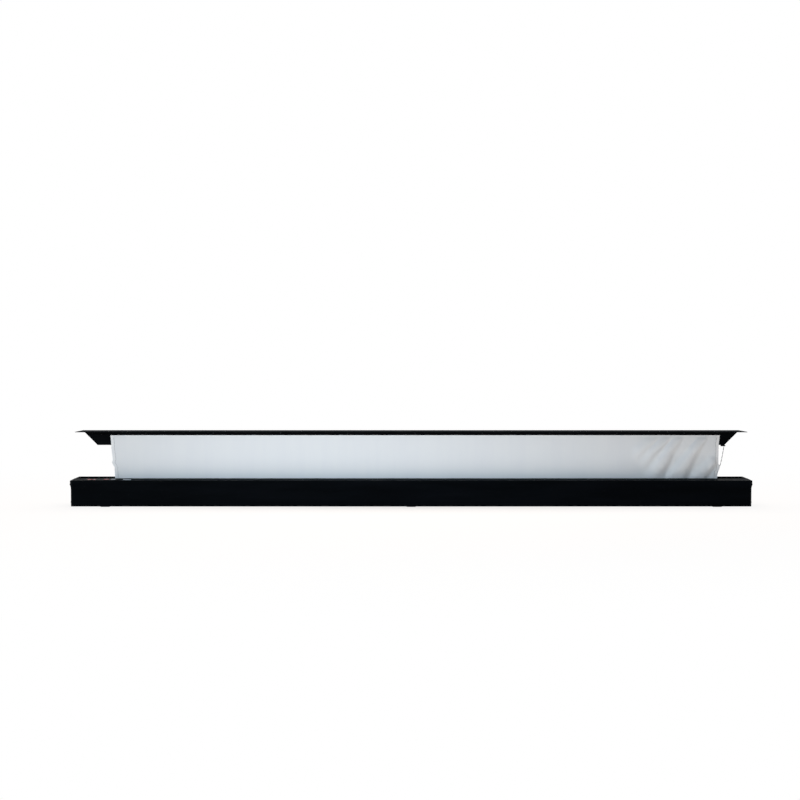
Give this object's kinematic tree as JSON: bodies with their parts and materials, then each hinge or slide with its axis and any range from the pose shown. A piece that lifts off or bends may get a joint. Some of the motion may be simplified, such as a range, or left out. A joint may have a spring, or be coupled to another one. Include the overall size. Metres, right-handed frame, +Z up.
{
  "type": "floor-rising projection screen",
  "caption": "Floor-standing projection screen: a long black case whose lid rises on two folding arms and draws a tab-tensioned white sheet off a motor roller.",
  "frame": {"origin": "centre of the case's footprint, on the floor", "axes": "+X along the case to the viewer's right, +Y to the back, +Z up; the viewing side faces -Y"},
  "size_m": [3, 0.14, 0.331],
  "materials": {
    "black_case": "satin black anodised aluminium",
    "black_lid": "matt black powder coat",
    "black_moulding": "fine-grained black ABS",
    "black_rubber": "matt",
    "mill_aluminium": "mill",
    "arm_aluminium": "black anodised",
    "arm_casting": "black powder coat on die casting",
    "plated_steel": "zinc plated",
    "screen_cloth": "matt white PVC screen cloth",
    "tab_film": "welded PVC band",
    "tension_cord": "braided polyester",
    "red_plastic": "satin",
    "grey_plastic": "satin"
  },
  "bodies": {
    "case": {"base_plate": "mill_aluminium", "front_profile": "black_case", "deck_profile": "black_case", "rear_profile": "black_case", "slot_lip": "black_moulding", "power_inlet": "black_moulding", "left_end_cap": "black_moulding", "right_end_cap": "black_moulding", "left_foot": "black_rubber", "centre_foot": "black_rubber", "right_foot": "black_rubber", "control_panel": "black_moulding", "motor_bracket": "plated_steel", "motor_head": "black_moulding", "motor_tube": "plated_steel", "idler_bracket": "plated_steel", "idler_pin": "plated_steel", "left_shoulder_bracket": "plated_steel", "left_shoulder_pin": "plated_steel", "right_shoulder_bracket": "plated_steel", "right_shoulder_pin": "plated_steel"},
    "roller": {"roller_tube": "mill_aluminium", "fabric_roll": "screen_cloth", "drive_adapter": "black_moulding"},
    "left_lower_arm": {"left_shoulder_knuckle": "arm_casting", "left_lower_tube": "arm_aluminium", "left_arm_spring": "plated_steel", "left_lower_elbow": "arm_casting", "left_elbow_pin": "plated_steel"},
    "left_upper_arm": {"left_upper_elbow": "arm_casting", "left_upper_tube": "arm_aluminium", "left_wrist_knuckle": "arm_casting"},
    "right_lower_arm": {"right_shoulder_knuckle": "arm_casting", "right_lower_tube": "arm_aluminium", "right_arm_spring": "plated_steel", "right_lower_elbow": "arm_casting", "right_elbow_pin": "plated_steel"},
    "right_upper_arm": {"right_upper_elbow": "arm_casting", "right_upper_tube": "arm_aluminium", "right_wrist_knuckle": "arm_casting"},
    "lid": {"lid_plate": "black_lid", "top_beam": "black_lid", "left_beam_cap": "black_moulding", "right_beam_cap": "black_moulding", "clamp_rail": "black_lid", "left_wrist_bracket": "plated_steel", "right_wrist_bracket": "plated_steel", "left_wrist_pin": "plated_steel", "right_wrist_pin": "plated_steel", "left_cord_anchor": "black_moulding", "right_cord_anchor": "black_moulding", "screen_fabric": "screen_cloth", "left_tab": "tab_film", "right_tab": "tab_film", "left_cord": "tension_cord", "right_cord": "tension_cord"},
    "feed": {"fabric_feed": "screen_cloth"},
    "rocker": {"power_rocker": "red_plastic"},
    "stop": {"stop_button": "red_plastic"},
    "turn": {"turn_button": "grey_plastic"}
  },
  "joints": [
    {"name": "left_shoulder", "type": "hinge", "parent": "case", "child": "left_lower_arm", "pos_m": [-1.33, 0.0455, 0.028], "axis": [0, -1, 0], "range_deg": [-4.69, 33.1]},
    {"name": "left_elbow", "type": "hinge", "parent": "left_lower_arm", "child": "left_upper_arm", "pos_m": [-0.0664, 0.0455, 0.15535], "axis": [0, -1, 0], "range_deg": [-66.3, 9.5]},
    {"name": "left_wrist", "type": "hinge", "parent": "left_upper_arm", "child": "lid", "pos_m": [-1.33, 0.0215, 0.2827], "axis": [0, -1, 0], "range_deg": [-4.8, 33.2]},
    {"name": "right_shoulder", "type": "hinge", "parent": "case", "child": "right_lower_arm", "pos_m": [1.33, 0.0455, 0.028], "axis": [0, -1, 0], "range_deg": [-33.2, 4.8]},
    {"name": "right_elbow", "type": "hinge", "parent": "right_lower_arm", "child": "right_upper_arm", "pos_m": [0.0664, 0.0455, 0.15535], "axis": [0, -1, 0], "range_deg": [-9.5, 66.3]},
    {"name": "sheet_feed", "type": "slide", "parent": "lid", "child": "feed", "axis": [0, 0, 1], "range_m": [-1.36, 0.2], "deforming": ["screen_fabric", "left_tab", "right_tab", "left_cord", "right_cord"]},
    {"name": "roller_turn", "type": "hinge", "parent": "case", "child": "roller", "pos_m": [0, -0.02555, 0.045], "axis": [1, 0, 0], "range_deg": [-402, 2830]},
    {"name": "rocker_tilt", "type": "hinge", "parent": "case", "child": "rocker", "pos_m": [-1.4125, -0.03997, 0.116], "axis": [0, 0.999, 0.0451], "range_deg": [-3, 3]},
    {"name": "stop_press", "type": "slide", "parent": "case", "child": "stop", "axis": [0, 0.0451, -0.999], "range_m": [0, 0.0015], "stiffness_N_per_m": 300, "springref_m": -0.001},
    {"name": "turn_press", "type": "slide", "parent": "case", "child": "turn", "axis": [0, 0.0451, -0.999], "range_m": [0, 0.0015], "stiffness_N_per_m": 300, "springref_m": -0.001}
  ],
  "couplings": [
    {"joint": "left_elbow", "follows": "left_shoulder", "ratio": -2},
    {"joint": "left_wrist", "follows": "left_shoulder", "ratio": 1},
    {"joint": "right_shoulder", "follows": "left_shoulder", "ratio": -1},
    {"joint": "right_elbow", "follows": "left_shoulder", "ratio": 2},
    {"joint": "sheet_feed", "follows": "left_shoulder", "m_per_rad": -2.3446},
    {"joint": "roller_turn", "follows": "left_shoulder", "ratio": 85.26}
  ]
}
